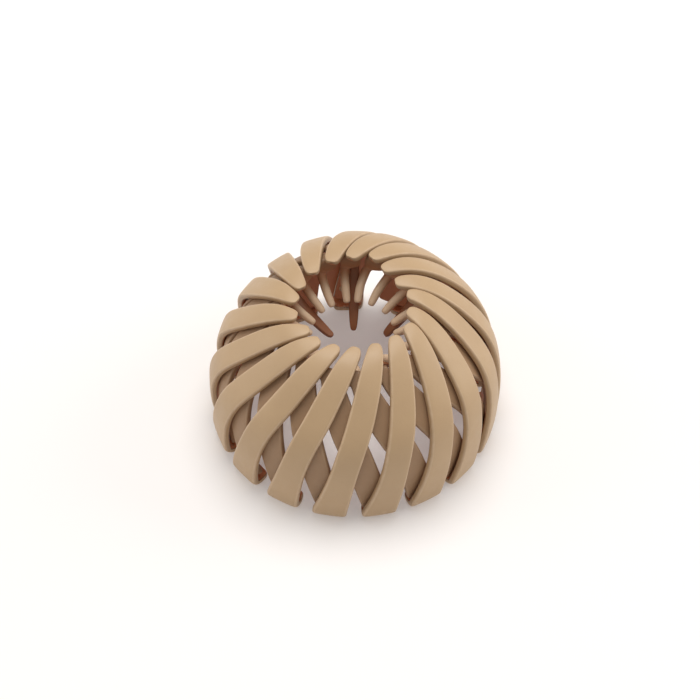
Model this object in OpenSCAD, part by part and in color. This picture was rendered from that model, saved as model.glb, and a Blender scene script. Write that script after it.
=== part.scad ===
// Bird's-nest hair clip: two layers of curved ribs that cross over a hollow
// dome, pinned together, with teeth that hang into the hole at the top.
// Bearings are clockwise from +Y, seen from above. The ribs' profile is a
// curve in [radius, height], and "depth" is measured inwards from its skin.

/* [Dome] */
// Widest diameter over the outer ribs
dome_d = 85; // [78:1:96]
// Height from the resting face to the top of the ribs
dome_h = 46.6; // [43:0.2:52]
// Radius of the circle where the ribs are at their highest
crown_r = 17.1; // [16:0.1:20]
// Height of the widest level above the resting face
belly_z = 13.7; // [12:0.1:16]
// How much flatter than an ellipse the shoulder lies, at most
shoulder_drop = 2.8; // [0:0.1:3]

/* [Lattice] */
// Number of outer ribs, and of inner ribs
rib_count = 18; // [18:1:18]
// How far an outer rib turns round the axis from its foot to its highest point, in degrees
outer_turn = 31.5; // [30:0.1:33]
// How far an inner rib would turn round the axis up to the same level, in degrees
inner_turn = 38.4; // [37:0.1:39]
// Bearing of the first outer rib's tip
first_tip = 15.4; // [0:0.1:20]
// How far the feet at the back have slipped round the ring, in degrees
foot_slip = 9; // [0:0.5:10]
// Bearing of the feet that have slipped the most
slip_bearing = 12; // [0:1:359]
// How far the inner ribs' ends on one side have slipped round the hole, in degrees
end_slip = 5; // [0:0.5:5]
// Bearing of the end that has slipped the most
end_slip_bearing = 50; // [0:1:359]
// How far the ring is pressed in on one side
press = 2.6; // [0:0.1:3]
// Bearing of the side that is pressed in
press_bearing = 303; // [0:1:359]
// Gap between the outer and the inner layer
layer_gap = 0.3; // [0.3:0.05:0.4]

/* [Outer ribs] */
// Thickness of an outer rib
outer_t = 2.4; // [2:0.1:3]
// Width of an outer rib at its tip
tip_w = 4.4; // [3.6:0.1:4.6]
// Width of an outer rib along its middle
outer_w = 7.5; // [6:0.1:7.8]
// Width of an outer rib at its foot
foot_w = 9.8; // [8:0.1:10.5]
// How far the foot runs in under the dome past its curl
foot_lip = 3.2; // [2:0.1:5]

/* [Inner ribs] */
// Thickness of an inner rib
inner_t = 2.1; // [1.8:0.1:2.3]
// Width of an inner rib along its middle
inner_w = 8.3; // [7:0.1:8.4]
// Width of an inner rib's turned-down end
end_w = 6.2; // [5.8:0.1:6.4]

/* [Teeth] */
// Width of a short tooth at its root
short_w = 2.8; // [2.4:0.1:3.2]
// How far a short tooth stands to the side of its rib's end, in degrees
short_side = -4.5; // [-5:0.1:-3.5]
// Width of a long tooth at its root
long_w = 3.1; // [2.4:0.1:3.2]
// How far a long tooth stands to the side of its rib's end, in degrees
long_side = 4; // [3.5:0.1:4.2]
// A long tooth hangs from one inner rib in every so many
long_every = 3; // [3:1:3]

/* [Pins] */
// Radius of a pin
pin_r = 1.2; // [1:0.05:1.4]
// Clearance between a pin and its hole
pin_clear = 0.1; // [0.08:0.01:0.2]
// How far a pin stands out of the inner rib
pin_proud = 0; // [0:0.1:0.5]

/* [Hidden] */

// Shift that brings the middle of the pressed ring back over the origin
seat = [-0.25*press, 0.11*press, 0];
// Half axes of the elliptical profile
reach = dome_d/2 - crown_r;
rise = dome_h - belly_z;
// Profile angles, from 90 at the highest point down to the start of the foot's curl; the shoulder
// lies between shoulder_a and 90
tip_a = 93.5;
curl_a = -20;
shoulder_a = 15;
inner_end_a = 80;
foot_pin_a = -11;
// Step for measuring a direction along a rib
tiny = 0.01;
// Width and thickness of an outer rib by profile angle: columns angle, width, thickness
OUTER_SHAPE = [
    [-20, foot_w, outer_t],
    [-6, 0.5*foot_w + 0.5*outer_w, outer_t],
    [12, outer_w, outer_t],
    [50, 0.98*outer_w, outer_t],
    [68, 0.9*outer_w, outer_t],
    [80, 0.5*outer_w + 0.45*tip_w, outer_t],
    [89, tip_w, outer_t],
    [91.5, 0.84*tip_w, 0.92*outer_t],
    [92.9, 0.6*tip_w, 0.75*outer_t],
    [93.5, 0.34*tip_w, 0.5*outer_t]];
// Width of an inner rib by profile angle: columns angle, width
INNER_SHAPE = [
    [-20, 1.06*inner_w],
    [0, inner_w],
    [35, inner_w],
    [52, 0.98*inner_w],
    [66, 0.82*inner_w],
    [71, 0.78*end_w]];
// Where the rings of an outer and of an inner rib are drawn, as profile angles
OUTER_RINGS = [93.5, 92.9, 91.5, 89, 83, 75, 66, 56, 46, 36, 26, 16, 6, -5, -13, -20];
INNER_RINGS = [71, 64, 55, 46, 37, 28, 19, 9, -2, -12, -20];
// Rings round the foot's curl: columns angle, share of the foot's width
CURL_RINGS = [[32, 1], [60, 0.97], [90, 0.97]];
// Rings along the lip after it: columns share of the lip's length, share of the foot's width
LIP_RINGS = [[0.84, 0.78], [1, 0.6]];
// Rings from a short tooth's point up through the turned-down end of an inner rib:
// columns radius and height of the face, radius and height of the back, width, side step in
// degrees, share of the tooth's lean
END_RINGS = [
    [11.2, 33.1, 11.8, 32.1, 0.5*short_w, short_side, 1],
    [11.7, 33.7, 12.7, 31.9, 0.78*short_w, short_side, 1],
    [15.2, 36.2, 16.4, 34, 0.9*short_w, short_side, 0.8],
    [18.3, 38.2, 19.6, 36, short_w, short_side, 0.4],
    [19.3, 38.5, 21, 36.8, 0.72*end_w, 0.5*short_side, 0.2],
    [19.6, 39.1, 21.8, 38, 0.94*end_w, 0, 0],
    [19.75, 40.6, 21.9, 39.2, 0.96*end_w, 0, 0],
    [20, 42.1, 22.1, 39.8, 0.93*end_w, 0, 0],
    [20.5, 42.7, 22.3, 39.9, 0.87*end_w, 0, 0],
    [21.3, 42.8, 22.5, 39.9, 0.8*end_w, 0, 0]];
// How far each short tooth leans round the hole at its point, in degrees
SHORT_LEAN = [-3, -6, -3, -2, 0, 0, 0, 0, 0, -2, -4, -4.5, -1, -4, -2, -7, -7.5, -5];
// Rings of a long tooth, from its root down: columns radius, height, width as a share, thickness
LONG_RINGS = [
    [21.3, 39.3, 0.8, 1.4],
    [20.7, 36.5, 0.86, 1.7],
    [17.8, 33, 1.02, 1.9],
    [14.2, 29.9, 0.96, 1.8],
    [11.2, 27.4, 0.84, 1.7],
    [9.3, 25.7, 0.66, 1.5],
    [8.8, 25.2, 0.4, 0.9]];
// How much farther out and higher each long tooth's point hangs, in the order of the ribs, and
// how far the tooth stands round the hole, in degrees
LONG_SPREAD = [[0.4, 0.2, 0], [-0.2, 0.4, 0], [0.3, 0, 0], [-2, 1.9, 0], [-0.9, -0.9, -1], [1.9, 0.6, 0]];
// How far each outer tip has been nudged round the hole, in degrees
TIP_NUDGE = [-2, -1, 2.4, 0, 2, -1.6, -1, 1, 1.6, 1.6, 1.4, -0.4, -0.8, 0.4, -1, 0, 1.4, -0.6];
// How much farther over the top each outer tip ends, in degrees of profile angle
TIP_REACH = [-4.5, 1.2, 3, 0, 0.5, -2.2, -0.6, 0.8, 0.8, 0.8, 0.3, 1.6, -0.8, 0.6, 1.2, 0, -1.8, -3];
// How far single outer feet have been pushed on round the ring, in degrees
FOOT_NUDGE = [1, 0, 0, 0, 0, 0, 0, 0, 0, 0, 0, 0, 0, 0, 0, 0, 6, 3];
// Rounded section of a rib: columns share of the width, share of the thickness
RIB_SECTION = [
    [-0.5, 0.5], [-0.43, 0.14], [-0.2, 0], [0.2, 0],
    [0.43, 0.14], [0.5, 0.5], [0.4, 1], [-0.4, 1]];
INNER_SECTION = [[-0.5, 0.55], [-0.36, 0.12], [0.36, 0.12], [0.5, 0.55], [0.42, 1], [-0.42, 1]];

plastic = [0.80, 0.69, 0.55];
plastic_shade = [0.72, 0.60, 0.46];

function unit(v) = v / norm(v);
function at_bearing(rz, bearing) = [rz[0]*sin(bearing), rz[0]*cos(bearing), rz[1]];
function column(table, n) = [for (row = table) [row[0], row[n]]];

// Half width of the profile at bearing b, less where the ring is pressed in
function reach_at(b) = reach - press*pow((1 + cos(b - press_bearing)) / 2, 7);
// Below its widest level the dome draws in more slowly
function tuck(a) = a < 0 ? 0.8 : 1;
// How far profile angle a has come over the shoulder, from 0 to 180
function over(a) = 180*(min(max(a, shoulder_a), 90) - shoulder_a) / (90 - shoulder_a);
// Most that the shoulder drops at bearing b: nothing at the back
function drop_at(b) = shoulder_drop*(1 - pow((1 + cos(b - slip_bearing)) / 2, 4));
// Drop of the shoulder at profile angle a, and its growth per radian
function drop(a, b) = drop_at(b)*pow(sin(over(a)), 2);
function drop_growth(a, b) = drop_at(b)*sin(2*over(a))*180 / (90 - shoulder_a);
// Skin and outward normal of the dome at profile angle a and bearing b
function skin_rz(a, b) = [crown_r + reach_at(b)*cos(tuck(a)*a), belly_z + rise*sin(a) - drop(a, b)];
function normal_rz(a, b) =
    unit([rise*cos(a) - drop_growth(a, b), reach_at(b)*tuck(a)*sin(tuck(a)*a)]);

// Share of the turn that an outer and an inner rib have made at profile angle a
function climb(a) = max(0, a - curl_a) / (90 - curl_a);
function outer_share(a) = 0.64*climb(a) + 0.36*pow(climb(a), 5);
function inner_share(a) = 0.57*climb(a) + 0.43*pow(climb(a), 4);
// Slip of the feet at bearing b, strongest at the back
function slip(b) = foot_slip * pow((1 + cos(b - slip_bearing)) / 2, 2.5);
function nudge(i) = TIP_NUDGE[i % len(TIP_NUDGE)];
function even_foot(i) = first_tip + outer_turn*outer_share(tip_a) + 360/rib_count*i;
function foot_bearing(i) = even_foot(i) + slip(even_foot(i));
function outer_sweep(i) = outer_turn + slip(even_foot(i)) - nudge(i);
// Slip of the inner ribs' ends at bearing b, strongest on one side
function end_slide(b) = end_slip * pow((1 + cos(b - end_slip_bearing)) / 2, 2.2);
function inner_sweep(i) =
    inner_turn - slip(even_foot(i)) - end_slide(even_foot(i) + inner_turn)/inner_share(inner_end_a);
// How far the foot nudge still turns an outer rib at profile angle a
function pushed(i, a) = FOOT_NUDGE[i % len(FOOT_NUDGE)]*pow(1 - min(1, outer_share(a)), 3);
function outer_bearing(i, a) = foot_bearing(i) - outer_sweep(i)*outer_share(a) + pushed(i, a);
function inner_bearing(i, a) = foot_bearing(i) + inner_sweep(i)*inner_share(a);

// Point of a rib's centre line at profile angle a and a given depth
function skin_point(a, b, depth) = at_bearing(skin_rz(a, b) - depth*normal_rz(a, b), b);
function outer_point(i, a, depth) = skin_point(a, outer_bearing(i, a), depth);
function inner_point(i, a, depth) = skin_point(a, inner_bearing(i, a), depth);

// One ring of a sweep: a section drawn across the direction "ahead", face along "out"
function ring(centre, ahead, out, w, t, section) =
    let(side = unit(cross(ahead, out)))
    [for (p = section) centre + side*p[0]*w - unit(out)*p[1]*t];

function outer_ring(i, a) =
    let(
        here = a + TIP_REACH[i % len(TIP_REACH)]*pow(max(0, a - 50) / (tip_a - 50), 2),
        b = outer_bearing(i, here),
        ahead = outer_point(i, here - tiny, 0) - outer_point(i, here + tiny, 0))
    ring(outer_point(i, here, 0), ahead, at_bearing(normal_rz(here, b), b),
        lookup(a, column(OUTER_SHAPE, 1)), lookup(a, column(OUTER_SHAPE, 2)), RIB_SECTION);

// Ring of a foot at angle c round its curl, moved in by run, with a share of the foot's width
function curl_ring(i, c, run, share) =
    let(
        b = outer_bearing(i, curl_a),
        start = skin_rz(curl_a, b),
        lean = normal_rz(curl_a, b),
        r = start[1] / (1 + lean[1]),
        rz = start - r*lean + r*[cos(c), -sin(c)] - [run, 0])
    ring(at_bearing(rz, b), at_bearing([-sin(c), -cos(c)], b), at_bearing([cos(c), -sin(c)], b),
        foot_w*share, outer_t, RIB_SECTION);

function inner_ring(i, a) =
    let(
        b = inner_bearing(i, a),
        depth = outer_t + layer_gap,
        ahead = inner_point(i, a - tiny, depth) - inner_point(i, a + tiny, depth))
    ring(inner_point(i, a, depth), ahead, at_bearing(normal_rz(a, b), b),
        lookup(a, column(INNER_SHAPE, 1)), inner_t, INNER_SECTION);

// Ring of the turned-down end or of its short tooth, from a row of END_RINGS
function end_ring(i, row) =
    let(
        b = inner_bearing(i, inner_end_a) + row[5] + row[6]*SHORT_LEAN[i % len(SHORT_LEAN)],
        face = at_bearing([row[0], row[1]], b),
        out = face - at_bearing([row[2], row[3]], b),
        side = [cos(b), -sin(b), 0])
    ring(face, cross(out, side), out, row[4], norm(out), INNER_SECTION);

// Ring k of a long tooth that hangs at bearing b
function long_ring(k, b, spread) =
    let(
        last = len(LONG_RINGS) - 1,
        here = LONG_RINGS[k],
        before = LONG_RINGS[max(0, k - 1)],
        after = LONG_RINGS[min(last, k + 1)],
        along = [after[0] - before[0], after[1] - before[1]],
        ahead = at_bearing(along, b),
        out = at_bearing(unit([along[1], -along[0]]), b),
        share = pow(k/last, 2),
        centre = at_bearing([here[0] + share*spread[0], here[1] + share*spread[1]], b))
    ring(centre + 0.5*here[3]*out, ahead, out, here[2]*long_w, here[3], INNER_SECTION);

// Closed skin over a row of rings
module skin(rings) {
    n = len(rings[0]);
    last = (len(rings) - 1)*n;
    sides = [for (i = [0:len(rings) - 2], j = [0:n - 1])
        let(here = i*n + j, next = i*n + (j + 1) % n)
        each [[here, here + n, next], [next, here + n, next + n]]];
    ends = [[for (j = [0:n - 1]) j], [for (j = [n - 1:-1:0]) last + j]];
    polyhedron(points = [for (r = rings) each r], faces = concat(sides, ends));
}

// Upright cylinder turned to lie along the dome's normal, starting at a depth
module along_normal(a, bearing, depth, length, r) {
    n = normal_rz(a, bearing);
    rz = skin_rz(a, bearing) - depth*n;
    rotate([0, 0, -bearing])
        translate([0, rz[0], rz[1]])
            rotate([atan2(n[1], n[0]) + 90, 0, 0])
                cylinder(h = length, r = r, $fn = 32);
}

// Profile angle between low and high at which outer rib i crosses the inner rib m places before it
function crossing(i, m, low = curl_a, high = 90, tries = 20) =
    let(
        mid = (low + high)/2,
        met = inner_bearing(i - m, mid) > outer_bearing(i, mid))
    m == 0 ? foot_pin_a
        : tries == 0 ? mid
        : met ? crossing(i, m, low, mid, tries - 1)
        : crossing(i, m, mid, high, tries - 1);

// Pin of outer rib i at its crossing m, or the hole for it
module pin(i, m, r, start, length) {
    a = crossing(i, m);
    along_normal(a, outer_bearing(i, a), start, length, r);
}

module outer_rib(i) {
    color(plastic) {
        skin(concat(
            [for (a = OUTER_RINGS) outer_ring(i, a)],
            [for (row = CURL_RINGS) curl_ring(i, row[0], 0, row[1])],
            [for (row = LIP_RINGS) curl_ring(i, 90, row[0]*foot_lip, row[1])]));
        for (m = [0:2])
            pin(i, m, pin_r, outer_t/2, outer_t/2 + layer_gap + inner_t + pin_proud);
    }
}

module inner_rib(i) {
    color(plastic_shade) {
        difference() {
            skin(concat(
                [for (row = END_RINGS) end_ring(i, row)],
                [for (a = INNER_RINGS) inner_ring(i, a)]));
            for (m = [0:2])
                pin((i + m) % rib_count, m, pin_r + pin_clear, outer_t/2, outer_t + inner_t);
        }
        if (i % long_every == long_every - 1)
            long_tooth(i);
    }
}

module long_tooth(i) {
    spread = LONG_SPREAD[floor(i/long_every) % len(LONG_SPREAD)];
    b = inner_bearing(i, inner_end_a) + long_side + spread[2];
    skin([for (k = [0:len(LONG_RINGS) - 1]) long_ring(k, b, spread)]);
}

for (i = [0:rib_count - 1]) {
    translate(seat) outer_rib(i);
    translate(seat) inner_rib(i);
}
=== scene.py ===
import math

import bmesh
import bpy
from mathutils import Matrix, Vector


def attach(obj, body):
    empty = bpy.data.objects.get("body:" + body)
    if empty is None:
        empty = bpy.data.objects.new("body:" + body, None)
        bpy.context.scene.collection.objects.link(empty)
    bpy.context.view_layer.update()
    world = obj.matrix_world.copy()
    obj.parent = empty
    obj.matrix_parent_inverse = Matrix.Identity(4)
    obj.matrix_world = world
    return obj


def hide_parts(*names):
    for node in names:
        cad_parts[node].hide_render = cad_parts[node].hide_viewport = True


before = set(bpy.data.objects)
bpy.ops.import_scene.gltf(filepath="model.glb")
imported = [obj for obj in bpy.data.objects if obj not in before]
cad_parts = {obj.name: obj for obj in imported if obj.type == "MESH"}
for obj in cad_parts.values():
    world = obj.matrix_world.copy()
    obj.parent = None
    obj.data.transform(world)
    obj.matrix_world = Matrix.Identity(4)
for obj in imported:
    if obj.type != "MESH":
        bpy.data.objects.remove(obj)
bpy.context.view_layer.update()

# Sizes, in millimetres and degrees. Bearings run clockwise from +Y, seen from above
MM = 0.001
RIBS = 18
STEP = 360 / RIBS
# The ring is pressed in, most at one bearing, and the dome is moved aside by two shares of that
PRESS, PRESS_BEARING, PRESS_POWER = 2.6, 303, 7
SEAT_X, SEAT_Y = -0.25, 0.11
SEAT = Vector((SEAT_X * PRESS, SEAT_Y * PRESS, 0))
# Profile of the dome, part of an ellipse: radius and height of its middle, half width, half height
CROWN_R, BELLY_Z, REACH, RISE = 17.1, 13.7, 25.4, 32.9
# Below its middle the profile tucks in by only this share of the angle
TUCK = 0.8
# The shoulder lies flatter than an ellipse, by this much at most, and not at all at the back
SHOULDER_DROP, SHOULDER_A, SHOULDER_POWER = 2.8, 15, 4
# Turn of the ribs round the dome on their way up, and the bearing of the first tip
OUTER_TURN, INNER_TURN, FIRST_TIP = 31.5, 38.4, 15.4
# How a rib turns as it climbs: share turned evenly, share turned late, and how late
OUTER_COURSE, INNER_COURSE = (0.64, 0.36, 5), (0.57, 0.43, 4)
# The feet at the back and the inner ribs' ends at the back right have slipped round the ring
FOOT_SLIP, SLIP_BEARING, SLIP_POWER = 9, 12, 2.5
END_SLIP, END_SLIP_BEARING, END_SLIP_POWER = 5, 50, 2.2
# Profile angles of an outer rib's tip, of the start of its curled foot and of an inner rib's end
TIP_A, CURL_A, END_A = 93.5, -20, 80
OUTER_T, INNER_T, LAYER_GAP = 2.4, 2.1, 0.3
# The foot narrows by this share round its curl, and runs on as a flat lip of this length
CURL_NARROWS, FOOT_LIP = 0.03, 3.2
# Rings along the lip of a foot: share of its length, share of the foot's width
LIP_RINGS = [(0.2, 0.96), (0.5, 0.92), (0.8, 0.86), (0.95, 0.78), (1.0, 0.7)]
# Pins of an outer rib: their number, radius, how far their ends stand proud and are rounded, and the
# profile angle of the one by the foot
PINS, PIN_R, PIN_PROUD, PIN_BEVEL, FOOT_PIN_A = 3, 1.2, 0.12, 0.3, -11
# Sides of a pin, steps of its rounding, and the angle past which its edges stay sharp
PIN_SIDES, PIN_BEVEL_STEPS, PIN_SHARP_A = 32, 3, 40

# Width of the ribs by profile angle
OUTER_W = [(-20, 9.8), (-6, 8.65), (12, 7.5), (50, 7.35), (68, 6.75), (80, 5.73), (89, 4.4),
           (91.5, 3.7), (92.9, 2.64), (93.5, 1.5)]
INNER_W = [(-20, 8.8), (0, 8.3), (35, 8.3), (52, 8.13), (66, 6.81), (71, 4.84)]
# Thickness of an outer rib, which thins only at its rounded tip
OUTER_D = [(-20, 2.4), (89, 2.4), (91.5, 2.21), (92.9, 1.8), (93.5, 1.2)]
# Profile angles of the rings along the ribs, and angles of those round the curl of a foot
TIP_RINGS = [93.5, 92.9, 91.5, 89, 85]
RIB_RINGS = [80, 74, 68, 62, 56, 50, 44, 38, 32, 26, 20, 14, 8, 2, -4, -10, -15, -20]
INNER_RINGS = [71, 66, 60, 54, 48, 42, 36, 30, 24, 18, 12, 6, 0, -6, -12, -16, -19, -20]
CURL_RINGS = [18, 36, 54, 72, 90]
# Short tooth and turned-down end: radius and height of the face, of the back, width, side step and
# share of the tooth's lean
END_RINGS = [
    (11.2, 33.1, 11.8, 32.1, 1.4, -4.5, 1),
    (11.7, 33.7, 12.7, 31.9, 2.2, -4.5, 1),
    (13.4, 34.95, 14.55, 32.95, 2.4, -4.5, 0.9),
    (15.2, 36.2, 16.4, 34.0, 2.52, -4.5, 0.8),
    (17.4, 37.6, 18.7, 35.4, 2.65, -4.5, 0.5),
    (18.7, 38.4, 20.1, 36.4, 2.75, -4.4, 0.35),
    (19.2, 38.7, 20.9, 37.1, 3.0, -4.2, 0.3),
    (19.4, 38.8, 21.4, 37.5, 5.3, -0.7, 0.05),
    (19.6, 39.3, 21.75, 38.2, 5.8, 0, 0),
    (19.75, 40.6, 21.9, 39.2, 5.95, 0, 0),
    (20.0, 42.0, 22.1, 39.8, 5.75, 0, 0),
    (20.4, 42.6, 22.3, 39.9, 5.4, 0, 0),
    (21.2, 42.8, 22.5, 39.9, 5.0, 0, 0)]
# The tooth is round, and from this ring on the inner rib has the section of a slab
SLAB_RING = 7
# How far each short tooth leans round the hole at its point
SHORT_LEAN = [-3, -6, -3, -2, 0, 0, 0, 0, 0, -2, -4, -4.5, -1, -4, -2, -7, -7.5, -5]
# Long tooth from its root down: radius, height, width, thickness
LONG_RINGS = [
    (21.3, 39.3, 2.5, 1.4),
    (20.7, 36.5, 2.7, 1.7),
    (17.8, 33.0, 3.16, 1.9),
    (14.2, 29.9, 2.98, 1.8),
    (11.2, 27.4, 2.6, 1.7),
    (9.3, 25.7, 2.05, 1.5),
    (8.8, 25.2, 1.24, 0.9)]
# The last of every three inner ribs has a long tooth, which stands this far beside its end
LONG_EVERY, LONG_SIDE = 3, 4
# How much farther out, higher and round the hole each long tooth hangs
LONG_SPREAD = [(0.4, 0.2, 0), (-0.2, 0.4, 0), (0.3, 0, 0), (-2, 1.9, 0), (-0.9, -0.9, -1), (1.9, 0.6, 0)]
# How far each tip is nudged round the hole and over the top, and each foot round the ring
TIP_NUDGE = [-2, -1, 2.4, 0, 2, -1.6, -1, 1, 1.6, 1.6, 1.4, -0.4, -0.8, 0.4, -1, 0, 1.4, -0.6]
TIP_REACH = [-4.5, 1.2, 3, 0, 0.5, -2.2, -0.6, 0.8, 0.8, 0.8, 0.3, 1.6, -0.8, 0.6, 1.2, 0, -1.8, -3]
FOOT_NUDGE = [1] + [0] * 15 + [6, 3]
# The reach over the top starts at this profile angle, and the foot's nudge fades with this power
TIP_REACH_A, FOOT_NUDGE_POWER = 50, 3

# Section of a rib: the corners of a round disc at these angles are pushed out to these shares of the
# half width and the half thickness
SIDES = 16
CORNER = 360 / SIDES
SLAB = {22.5: (1.0, 0.42), 45.0: (0.95, 0.80), 67.5: (0.72, 0.93), 90.0: (0.0, 1.0)}
# The disc is 1 across, from its back to its face, and these are the places of the edge and the back
DISC_R, EDGE_LOW, EDGE_HIGH, BACK_HIGH = 0.5, 0.15, 0.4, -0.3
SMOOTHING = 2
# Step that shows which way a rib heads, in degrees, and rounds of halving that find a crossing
SMALL_A, HALVINGS = 0.01, 30


def cosd(a):
    return math.cos(math.radians(a))


def sind(a):
    return math.sin(math.radians(a))


def lookup(x, rows):
    """Value at x on a line through the rows, which are in rising order of x."""
    if x <= rows[0][0]:
        return rows[0][1]
    for (x0, y0), (x1, y1) in zip(rows, rows[1:]):
        if x <= x1:
            return y0 + (y1 - y0) * (x - x0) / (x1 - x0)
    return rows[-1][1]


def at_bearing(r, z, b):
    return Vector((r * sind(b), r * cosd(b), z))


def near(b, middle, power):
    """1 at the bearing called middle, falling smoothly to 0 on the far side of the ring."""
    return ((1 + cosd(b - middle)) / 2) ** power


# The dome and the paths of the ribs
def skin(a, b, depth):
    """Point under the dome's skin at profile angle a and bearing b, and the outward normal there."""
    tuck = TUCK if a < 0 else 1.0
    reach = REACH - PRESS * near(b, PRESS_BEARING, PRESS_POWER)
    over = 180 * (min(max(a, SHOULDER_A), 90) - SHOULDER_A) / (90 - SHOULDER_A)
    drop = SHOULDER_DROP * (1 - near(b, SLIP_BEARING, SHOULDER_POWER))
    r = CROWN_R + reach * cosd(tuck * a)
    z = BELLY_Z + RISE * sind(a) - drop * sind(over) ** 2
    nr = RISE * cosd(a) - drop * sind(2 * over) * 180 / (90 - SHOULDER_A)
    nz = reach * tuck * sind(tuck * a)
    length = math.hypot(nr, nz)
    nr, nz = nr / length, nz / length
    return at_bearing(r - depth * nr, z - depth * nz, b), at_bearing(nr, nz, b)


def turned(a, course):
    """Share of its turn that a rib has made by profile angle a."""
    even, late, power = course
    climb = max(0, a - CURL_A) / (90 - CURL_A)
    return even * climb + late * climb ** power


def even_foot(i):
    """Bearing of the foot of outer rib i in a ring without slip."""
    return FIRST_TIP + OUTER_TURN * turned(TIP_A, OUTER_COURSE) + STEP * i


def slip(i):
    return FOOT_SLIP * near(even_foot(i), SLIP_BEARING, SLIP_POWER)


def outer_bearing(i, a):
    share = turned(a, OUTER_COURSE)
    turn = (OUTER_TURN + slip(i) - TIP_NUDGE[i]) * share
    push = FOOT_NUDGE[i] * (1 - min(1, share)) ** FOOT_NUDGE_POWER
    return even_foot(i) + slip(i) - turn + push


def end_slip(b):
    return END_SLIP * near(b, END_SLIP_BEARING, END_SLIP_POWER)


def inner_bearing(i, a):
    turn = INNER_TURN - slip(i) - end_slip(even_foot(i) + INNER_TURN) / turned(END_A, INNER_COURSE)
    return even_foot(i) + slip(i) + turn * turned(a, INNER_COURSE)


# Rings of the ribs and teeth
def ring(centre, side, out, width, depth):
    """One ring of a rib: its place, its turn and its size, in metres."""
    side, out = side.normalized(), out.normalized()
    turn = Matrix((side, out, side.cross(out))).transposed()
    return (centre + SEAT) * MM, turn, width * MM, depth * MM


def along(bearing_of, i, a, depth, width, thick):
    """Ring of a rib whose face lies at that depth under the skin."""
    def face(angle):
        return skin(angle, bearing_of(i, angle), depth)

    here, out = face(a)
    ahead = face(a - SMALL_A)[0] - face(a + SMALL_A)[0]
    return ring(here - out * thick / 2, ahead.cross(out), out, width, thick)


def foot_rings(i):
    """The foot curls in on an arc that starts at the skin and touches the floor, then runs flat."""
    b = outer_bearing(i, CURL_A)
    start, lean = skin(CURL_A, b, 0)
    r = start.z / (1 + lean.z)
    middle = start - lean * r
    curl = [(c, 0, 1 - CURL_NARROWS * c / 90) for c in CURL_RINGS]
    lip = [(90, FOOT_LIP * run, share) for run, share in LIP_RINGS]
    rings = []
    for c, run, share in curl + lip:
        out = at_bearing(cosd(c), -sind(c), b)
        centre = middle + out * (r - OUTER_T / 2) - at_bearing(run, 0, b)
        side = at_bearing(-sind(c), -cosd(c), b).cross(out)
        rings.append(ring(centre, side, out, lookup(CURL_A, OUTER_W) * share, OUTER_T))
    return rings


def outer_rings(i):
    rings = []
    for a in TIP_RINGS + RIB_RINGS:
        here = a + TIP_REACH[i] * (max(0, a - TIP_REACH_A) / (TIP_A - TIP_REACH_A)) ** 2
        rings.append(along(outer_bearing, i, here, 0, lookup(a, OUTER_W), lookup(a, OUTER_D)))
    return rings + foot_rings(i)


def inner_rings(i):
    rings = []
    end = inner_bearing(i, END_A)
    for face_r, face_z, back_r, back_z, width, step, lean in END_RINGS:
        b = end + step + lean * SHORT_LEAN[i]
        face, back = at_bearing(face_r, face_z, b), at_bearing(back_r, back_z, b)
        side = Vector((cosd(b), -sind(b), 0))
        rings.append(ring((face + back) / 2, side, face - back, width, (face - back).length))
    for a in INNER_RINGS:
        rings.append(along(inner_bearing, i, a, OUTER_T + LAYER_GAP, lookup(a, INNER_W), INNER_T))
    return rings


def long_rings(i):
    more_out, more_up, more_round = LONG_SPREAD[i // LONG_EVERY]
    b = inner_bearing(i, END_A) + LONG_SIDE + more_round
    last = len(LONG_RINGS) - 1
    line = [(r + more_out * (k / last) ** 2, z + more_up * (k / last) ** 2)
            for k, (r, z, _, _) in enumerate(LONG_RINGS)]
    rings = []
    for k, (_, _, width, thick) in enumerate(LONG_RINGS):
        (r0, z0), (r1, z1) = line[max(0, k - 1)], line[min(last, k + 1)]
        ahead = at_bearing(r1 - r0, z1 - z0, b)
        out = at_bearing(z1 - z0, r0 - r1, b)
        rings.append(ring(at_bearing(*line[k], b), ahead.cross(out), out, width, thick))
    return rings


# Modelling, as by hand in edit mode
def deselect():
    bpy.ops.object.select_all(action="DESELECT")


def flatten_disc(mesh, place):
    """Pushes the corners of the round disc just drawn out to the section of a slab."""
    at, turn, width, depth = place
    back = turn.transposed()
    data = bmesh.from_edit_mesh(mesh)
    disc = [v for v in data.verts if v.select]
    spots = {}
    for v in disc:
        p = back @ (v.co - at)
        angle = math.degrees(math.atan2(abs(p.y) / depth, abs(p.x) / width))
        spots.setdefault(round(angle / CORNER) * CORNER, []).append(v)
    for angle, (x, y) in SLAB.items():
        data.select_mode = {"VERT"}
        for v in data.verts:
            v.select = False
        for v in spots[angle]:
            v.select = True
        data.select_flush_mode()
        bmesh.update_edit_mesh(mesh)
        bpy.ops.transform.resize(
            value=(x / cosd(angle) if x else 1, y / sind(angle), 1), orient_type="GLOBAL",
            orient_matrix=turn, orient_matrix_type="GLOBAL", center_override=at)
    for v in disc:
        v.select = True
    data.select_flush(True)
    bmesh.update_edit_mesh(mesh)


def mark_edge_and_back(piece):
    """Marks the disc's corners along the edge of the face and at the back, for the finish."""
    edge = piece.data.attributes.new("edge", "FLOAT", "POINT")
    back = piece.data.attributes.new("back", "FLOAT", "POINT")
    for v in piece.data.vertices:
        edge.data[v.index].value = 1.0 if EDGE_LOW < v.co.y < EDGE_HIGH else 0.0
        back.data[v.index].value = 1.0 if v.co.y < BACK_HIGH else 0.0


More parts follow.
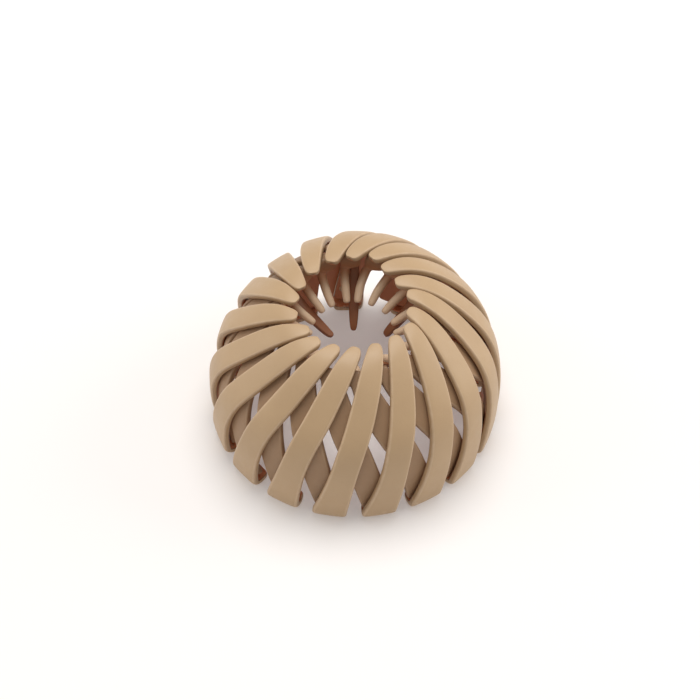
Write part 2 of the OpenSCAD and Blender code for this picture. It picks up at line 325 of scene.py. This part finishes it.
def loft(name, rings, slab_from=0):
    """A round disc laid on the first ring and extruded from ring to ring, then smoothed."""
    deselect()
    bpy.ops.mesh.primitive_circle_add(vertices=SIDES, radius=DISC_R, fill_type="NGON")
    piece = bpy.context.object
    piece.name = piece.data.name = name
    mark_edge_and_back(piece)
    bpy.ops.object.mode_set(mode="EDIT")
    bpy.ops.mesh.select_all(action="SELECT")
    at, turn, width, depth = Vector((0, 0, 0)), Matrix.Identity(3), 1.0, 1.0
    for k, (to, new_turn, new_width, new_depth) in enumerate(rings):
        if k:
            bpy.ops.mesh.extrude_region_move()
        bpy.ops.transform.resize(
            value=(new_width / width, new_depth / depth, 1), orient_type="GLOBAL",
            orient_matrix=turn, orient_matrix_type="GLOBAL", center_override=at)
        for axis, angle in zip("XYZ", (new_turn @ turn.transposed()).to_euler("XYZ")):
            bpy.ops.transform.rotate(
                value=-angle, orient_axis=axis, orient_type="GLOBAL", center_override=at)
        bpy.ops.transform.translate(value=to - at)
        at, turn, width, depth = to, new_turn, new_width, new_depth
        if k == slab_from:
            flatten_disc(piece.data, (at, turn, width, depth))
    bpy.ops.mesh.select_all(action="SELECT")
    bpy.ops.mesh.normals_make_consistent(inside=False)
    bpy.ops.object.mode_set(mode="OBJECT")
    soften = piece.modifiers.new("soften", "SUBSURF")
    soften.levels = soften.render_levels = SMOOTHING
    bpy.ops.object.modifier_apply(modifier="soften")
    bpy.ops.object.shade_smooth()
    return piece


# Finishes

# Noises of the plastic: scale, detail and roughness
PATCHES, SPECKLE, WEAR = (70, 3, 0.5), (1400, 2, 0.5), (420, 3, 0.6)
SCUFFS, FINE_GRAIN, WAVES = (900, 4, 0.7), (2600, 3, 0.6), (160, 2, 0.5)
# Each pair says where a noise or a mark starts to show and where it is full
PATCHES_IN, SPECKLE_IN, SCUFFS_IN = (0.35, 0.65), (0.55, 0.75), (0.5, 0.62)
EDGE_IN, EDGE_WORN_IN, SHADOW_LINE_IN, BACK_SHADE_IN = (0.45, 0.8), (0.3, 0.65), (0.2, 0.5), (0.7, 0.95)
# The same in millimetres: from the origin's axis for the painted light of a short tooth and the painted
# shade of its root, and above the floor for the top of that root and the scuffs of the feet
TOOTH_LIGHT_IN, ROOT_SHADE_IN, ROOT_SHADE_OUT = (19, 15.5), (16.5, 19.5), (22.5, 21.5)
ROOT_SHADE_TOP, SCUFF_TOP = (42.5, 39.5), (4.5, 1.2)
# Colours of the patches, of the speckle and of the painted shadow line along the back
PATCH_TINT, SPECKLE_TINT, SHADOW_LINE = (0.62, 0.56, 0.5, 1), (0.7, 0.62, 0.55, 1), (0.20, 0.095, 0.05, 1)
# How strongly the speckle, the painted shadow line and the scuffs show, and the least wear and painted
# highlight along an edge
SPECKLE_SHARE, SHADOW_LINE_SHARE, SCUFF_SHARE, EDGE_WORN_LEAST = 0.5, 0.85, 0.5, 0.35
# Wear at which the plastic is least and most rough, and how far that is from its own roughness
ROUGH_IN, ROUGH_SPREAD = (0.3, 0.7), 0.05
# How much the grain, the waves and the scuffs give to the relief, and the height of a relief of 1
GRAIN_RELIEF, WAVE_RELIEF, SCUFF_RELIEF, RELIEF_HEIGHT = 0.35, 1.6, 0.9, 0.25
GLOSS = 0.5
# Sockets of the finish, and the kind of each
FINISH_INPUTS = {"Plastic": "Color", "Edge": "Color", "Back": "Color", "Tooth": "Float", "Root": "Float",
                 "Mottle": "Float", "Edge wear and highlight": "Float", "Roughness": "Float", "Grain": "Float"}
FINISH_OUTPUTS = {"Color": "Color", "Rough": "Float", "Normal": "Vector"}


class FinishNodes:
    """Adds the nodes of a finish to its group, one short call for each."""

    def __init__(self, group):
        self.nodes = group.nodes
        self.links = group.links
        self.place = self.nodes.new("ShaderNodeTexCoord").outputs["Object"]

    def feed(self, spot, value):
        """Sets an input to a plain number or colour, or links another node's output to it."""
        if isinstance(value, (int, float, tuple)):
            spot.default_value = value
        else:
            self.links.new(value, spot)

    def noise(self, scale, detail, rough):
        made = self.nodes.new("ShaderNodeTexNoise")
        self.feed(made.inputs["Vector"], self.place)
        self.feed(made.inputs["Scale"], scale)
        self.feed(made.inputs["Detail"], detail)
        self.feed(made.inputs["Roughness"], rough)
        return made.outputs["Fac"]

    def remap(self, value, span, to_low=0, to_high=1):
        made = self.nodes.new("ShaderNodeMapRange")
        self.feed(made.inputs["Value"], value)
        self.feed(made.inputs["From Min"], span[0])
        self.feed(made.inputs["From Max"], span[1])
        self.feed(made.inputs["To Min"], to_low)
        self.feed(made.inputs["To Max"], to_high)
        return made.outputs["Result"]

    def remap_mm(self, value, span):
        return self.remap(value, (span[0] * MM, span[1] * MM))

    def maths(self, kind, a, b):
        made = self.nodes.new("ShaderNodeMath")
        made.operation = kind
        self.feed(made.inputs[0], a)
        self.feed(made.inputs[1], b)
        return made.outputs[0]

    def times(self, a, b):
        return self.maths("MULTIPLY", a, b)

    def plus(self, a, b):
        return self.maths("ADD", a, b)

    def mixed(self, share, a, b, kind="MIX"):
        made = self.nodes.new("ShaderNodeMix")
        made.data_type = "RGBA"
        made.blend_type = kind
        self.feed(made.inputs["Factor"], share)
        for name, value in (("A", a), ("B", b)):
            self.feed(next(s for s in made.inputs if s.name == name and s.type == "RGBA"), value)
        return next(s for s in made.outputs if s.type == "RGBA")

    def attribute(self, name):
        made = self.nodes.new("ShaderNodeAttribute")
        made.attribute_name = name
        return made.outputs["Fac"]

    def axis_and_floor(self):
        """Distance from the upright axis through the origin, and height above the floor."""
        parts = self.nodes.new("ShaderNodeSeparateXYZ")
        self.links.new(self.place, parts.inputs[0])
        x, y, z = parts.outputs
        return self.maths("POWER", self.plus(self.times(x, x), self.times(y, y)), 0.5), z


def mottled(make, given):
    """Plastic in its own colour, with soft patches and a speckle."""
    mottle = given.outputs["Mottle"]
    patches = make.times(make.remap(make.noise(*PATCHES), PATCHES_IN), mottle)
    speckle = make.times(make.remap(make.noise(*SPECKLE), SPECKLE_IN), make.times(mottle, SPECKLE_SHARE))
    shade = make.mixed(patches, given.outputs["Plastic"], PATCH_TINT, "MULTIPLY")
    return make.mixed(speckle, shade, SPECKLE_TINT, "MULTIPLY")


# Pales the edges of a rib's face: partly worn plastic, partly a painted highlight where light catches the
# edge.
def worn_and_highlit_edges(make, given, shade, wear):
    rim = make.times(make.remap(make.attribute("edge"), EDGE_IN),
                     make.remap(wear, EDGE_WORN_IN, EDGE_WORN_LEAST))
    return make.mixed(make.times(rim, given.outputs["Edge wear and highlight"]), shade, given.outputs["Edge"])


def painted_back_shade(make, given, shade):
    """Painted shade: the back in a warm dark brown for the shade and warm bounce light in the hollow, with
    a painted shadow line along its border.
    """
    behind = make.attribute("back")
    # Painted shadow: a dark line where the rib's face turns into its back.
    shade = make.mixed(make.times(make.remap(behind, SHADOW_LINE_IN), SHADOW_LINE_SHARE), shade, SHADOW_LINE)
    # Painted shade: the back in a warm dark brown.
    return make.mixed(make.remap(behind, BACK_SHADE_IN), shade, given.outputs["Back"])


def painted_tooth_light_and_root_shade(make, given, shade, from_axis, height):
    """Painted light and shade: a short tooth paled toward the edge colour where light through the hole
    falls on it, on a root darkened toward the back colour as painted shade.
    """
    # Painted light on the short tooth.
    tooth = make.times(make.remap_mm(from_axis, TOOTH_LIGHT_IN), given.outputs["Tooth"])
    shade = make.mixed(tooth, shade, given.outputs["Edge"])
    # Painted shade at the tooth's root, under the turned-down end.
    root = make.times(make.remap_mm(from_axis, ROOT_SHADE_IN), make.remap_mm(from_axis, ROOT_SHADE_OUT))
    root = make.times(make.times(root, make.remap_mm(height, ROOT_SHADE_TOP)), given.outputs["Root"])
    return make.mixed(root, shade, given.outputs["Back"])


def relief(make, given, scuff):
    """Fine grain on slow waves, with the scuffs of the feet."""
    grain = make.times(make.noise(*FINE_GRAIN), GRAIN_RELIEF)
    waves = make.times(make.noise(*WAVES), WAVE_RELIEF)
    bump = make.nodes.new("ShaderNodeBump")
    make.feed(bump.inputs["Distance"], RELIEF_HEIGHT * MM)
    make.feed(bump.inputs["Strength"], given.outputs["Grain"])
    make.feed(bump.inputs["Height"], make.plus(make.plus(grain, waves), make.times(scuff, SCUFF_RELIEF)))
    return bump.outputs["Normal"]


def moulded_group():
    """Matt moulded plastic: soft mottling, edges paled by wear and a painted highlight, a back in painted
    warm shade with a painted shadow line, short teeth in painted light on roots in painted shade, scuffed
    feet and a fine grain.
    """
    group = bpy.data.node_groups.new("moulded_finish", "ShaderNodeTree")
    for way, sockets in (("INPUT", FINISH_INPUTS), ("OUTPUT", FINISH_OUTPUTS)):
        for name, kind in sockets.items():
            group.interface.new_socket(name=name, in_out=way, socket_type="NodeSocket" + kind)
    given, result = group.nodes.new("NodeGroupInput"), group.nodes.new("NodeGroupOutput")
    make = FinishNodes(group)
    from_axis, height = make.axis_and_floor()
    wear = make.noise(*WEAR)
    scuff = make.times(make.remap_mm(height, SCUFF_TOP), make.remap(make.noise(*SCUFFS), SCUFFS_IN))
    shade = worn_and_highlit_edges(make, given, mottled(make, given), wear)
    shade = painted_tooth_light_and_root_shade(make, given, painted_back_shade(make, given, shade), from_axis, height)
    shade = make.mixed(make.times(scuff, SCUFF_SHARE), shade, given.outputs["Edge"])
    uneven = make.times(make.remap(wear, ROUGH_IN, -1), ROUGH_SPREAD)
    make.feed(result.inputs["Color"], shade)
    make.feed(result.inputs["Rough"], make.plus(given.outputs["Roughness"], uneven))
    make.feed(result.inputs["Normal"], relief(make, given, scuff))
    return group


MOULDED = moulded_group()


def plastic(name, plain, edge, back, mottle, wear, rough, grain, tooth=0, root=0):
    """One plastic; tooth says how far a short tooth takes on painted light and root how far its root takes
    on painted shade.
    """
    made = bpy.data.materials.new(name)
    made.use_nodes = True
    nodes, links = made.node_tree.nodes, made.node_tree.links
    shader = next(n for n in nodes if n.type == "BSDF_PRINCIPLED")
    finish = nodes.new("ShaderNodeGroup")
    finish.node_tree = MOULDED
    values = {"Plastic": (*plain, 1), "Edge": (*edge, 1), "Back": (*back, 1), "Tooth": tooth, "Root": root,
              "Mottle": mottle, "Edge wear and highlight": wear, "Roughness": rough, "Grain": grain}
    for key, value in values.items():
        finish.inputs[key].default_value = value
    links.new(finish.outputs["Color"], shader.inputs["Base Color"])
    links.new(finish.outputs["Rough"], shader.inputs["Roughness"])
    links.new(finish.outputs["Normal"], shader.inputs["Normal"])
    shader.inputs["Specular IOR Level"].default_value = GLOSS
    return made


# Tan plastic: its edge colour pales worn edges and paints a highlight along them, and its back colour is
# painted warm shade.
TAN = plastic(
    "tan_plastic", plain=(0.485, 0.33, 0.186), edge=(0.70, 0.53, 0.37), back=(0.56, 0.205, 0.082),
    mottle=0.14, wear=0.35, rough=0.46, grain=0.25)
# Painted shade: the tan of the inner ribs darkened for the shade of the layer behind; its edge colour
# pales worn edges and paints the light on the short teeth, and its back colour paints the shade of the
# back and the roots.
SHADE_TAN = plastic(
    "shaded_tan_plastic", plain=(0.36, 0.22, 0.12), edge=(0.80, 0.60, 0.41), back=(0.50, 0.18, 0.07),
    mottle=0.14, wear=0.12, rough=0.55, grain=0.3, tooth=0.7, root=0.5)
# Painted deep shade: the tan plastic of the long teeth darkened to a deep reddish brown for the shade they
# hang in.
DEEP_SHADE_TAN = plastic(
    "long_tooth_painted_deep_shade", plain=(0.27, 0.10, 0.04), edge=(0.36, 0.17, 0.08), back=(0.22, 0.075, 0.03),
    mottle=0.15, wear=0.3, rough=0.5, grain=0.25)


# The pieces
def finish_piece(piece, material, slot, *nodes):
    piece.data.materials.append(material)
    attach(piece, "root")
    if nodes:
        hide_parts(*nodes)


def crossing(i, m):
    """Profile angle at which outer rib i crosses the inner rib m places before it."""
    if m == 0:
        return FOOT_PIN_A
    low, high = CURL_A, 90
    for _ in range(HALVINGS):
        middle = (low + high) / 2
        if inner_bearing(i - m, middle) > outer_bearing(i, middle):
            high = middle
        else:
            low = middle
    return (low + high) / 2


def pin(i, m):
    """Round pin with rounded ends, from inside outer rib i to just past the inner rib it crosses."""
    start, end = OUTER_T / 2, OUTER_T + LAYER_GAP + INNER_T + PIN_PROUD
    a = crossing(i, m)
    spot, out = skin(a, outer_bearing(i, a), (start + end) / 2)
    deselect()
    bpy.ops.mesh.primitive_cylinder_add(
        vertices=PIN_SIDES, radius=PIN_R * MM, depth=(end - start) * MM, location=(spot + SEAT) * MM,
        rotation=out.to_track_quat("Z", "Y").to_euler())
    made = bpy.context.object
    rounded = made.modifiers.new("rounded", "BEVEL")
    rounded.width, rounded.segments = PIN_BEVEL * MM, PIN_BEVEL_STEPS
    bpy.ops.object.modifier_apply(modifier="rounded")
    bpy.ops.object.transform_apply(location=True, rotation=True, scale=True)
    bpy.ops.object.shade_smooth_by_angle(angle=math.radians(PIN_SHARP_A))
    return made


def outer_rib(i, number):
    """Wide smooth rib, with the pins on its back made part of it."""
    rib = loft("rib_" + number, outer_rings(i))
    pins = [pin(i, m) for m in range(PINS)]
    deselect()
    for part in [*pins, rib]:
        part.select_set(True)
    bpy.context.view_layer.objects.active = rib
    bpy.ops.object.join()
    finish_piece(rib, TAN, "outer_plastic", "outer_rib_" + number)


def inner_rib(i, number):
    """Rib of the layer behind, with its turned-down end and short tooth."""
    rib = loft("cross_rib_" + number, inner_rings(i), SLAB_RING)
    finish_piece(rib, SHADE_TAN, "inner_plastic", "inner_rib_" + number)


# Long tooth, coloured with painted deep shade.
def long_tooth(i, number):
    finish_piece(loft("long_tooth_" + number, long_rings(i)), DEEP_SHADE_TAN, "inner_plastic")


for i in range(RIBS):
    number = f"{i + 1:02d}"
    outer_rib(i, number)
    inner_rib(i, number)
    if i % LONG_EVERY == LONG_EVERY - 1:
        long_tooth(i, number)

# Floor, light and camera, in metres unless a name says otherwise
FLOOR_ACROSS, PAPER, PAPER_ROUGH, PAPER_GLOSS = 6, (0.73, 0.71, 0.695, 1), 0.8, 0.2
PAPER_GLOW, PAPER_GLOW_POWER = (1.0, 0.95, 0.925, 1), 0.21
WHITE, LAMP_ACROSS, LAMP_AIM, SKY_POWER = (1.0, 0.985, 0.97), 0.9, (0, 0, 0.02), 0.45
# Each lamp: name, place and power
LAMPS = [
    ("overhead", (0.02, 0.33, 1.16), 9.9),
    ("left_side", (-1.1, 0.1, 0.5), 2.9),
    ("right_side", (1.1, 0.25, 0.5), 5.0)]
# Width and focal length of the picture in pixels, size of a pixel where the dome's axis meets the
# floor, and how many degrees down the camera looks
PIXELS, FOCAL_PX, MM_PER_PX, ELEVATION = 700, 3000, 0.2911, 53
# Pixel of the picture where that place stands
AXIS_PX = (352.9, 404.0)
SENSOR_MM, CLIP_NEAR, CLIP_FAR = 36, 0.05, 20

deselect()
bpy.ops.mesh.primitive_plane_add(size=FLOOR_ACROSS, location=(0, 0, 0))
floor = bpy.context.object
floor.name = "floor"
paper = bpy.data.materials.new("pale_floor")
paper.use_nodes = True
board = next(n for n in paper.node_tree.nodes if n.type == "BSDF_PRINCIPLED")
board.inputs["Base Color"].default_value = PAPER
board.inputs["Emission Color"].default_value = PAPER_GLOW
board.inputs["Emission Strength"].default_value = PAPER_GLOW_POWER
board.inputs["Roughness"].default_value = PAPER_ROUGH
board.inputs["Specular IOR Level"].default_value = PAPER_GLOSS
floor.data.materials.append(paper)

for name, place, power in LAMPS:
    light = bpy.data.lights.new(name, "AREA")
    light.shape = "DISK"
    light.size, light.energy, light.color = LAMP_ACROSS, power, WHITE
    lamp = bpy.data.objects.new(name, light)
    bpy.context.collection.objects.link(lamp)
    lamp.location = place
    lamp.rotation_euler = (Vector(place) - Vector(LAMP_AIM)).to_track_quat("Z", "Y").to_euler()

world = bpy.data.worlds.new("studio")
bpy.context.scene.world = world
world.use_nodes = True
sky = world.node_tree.nodes["Background"]
sky.inputs["Color"].default_value = (*WHITE, 1)
sky.inputs["Strength"].default_value = SKY_POWER

lens = bpy.data.cameras.new("camera")
camera = bpy.data.objects.new("camera", lens)
bpy.context.collection.objects.link(camera)
lens.sensor_width = SENSOR_MM
lens.lens = FOCAL_PX / PIXELS * lens.sensor_width
lens.clip_start, lens.clip_end = CLIP_NEAR, CLIP_FAR
distance = FOCAL_PX * MM_PER_PX * MM
back_way = Vector((0, -cosd(ELEVATION), sind(ELEVATION)))
camera.location = SEAT * MM + back_way * distance
pitch = math.atan((AXIS_PX[1] - PIXELS / 2) / FOCAL_PX)
yaw = math.atan((AXIS_PX[0] - PIXELS / 2) / FOCAL_PX)
aim = back_way.to_track_quat("Z", "Y").to_matrix()
camera.rotation_euler = (aim @ Matrix.Rotation(yaw, 3, "Y") @ Matrix.Rotation(pitch, 3, "X")).to_euler()
bpy.context.scene.camera = camera
bpy.context.scene.view_settings.view_transform = "Standard"
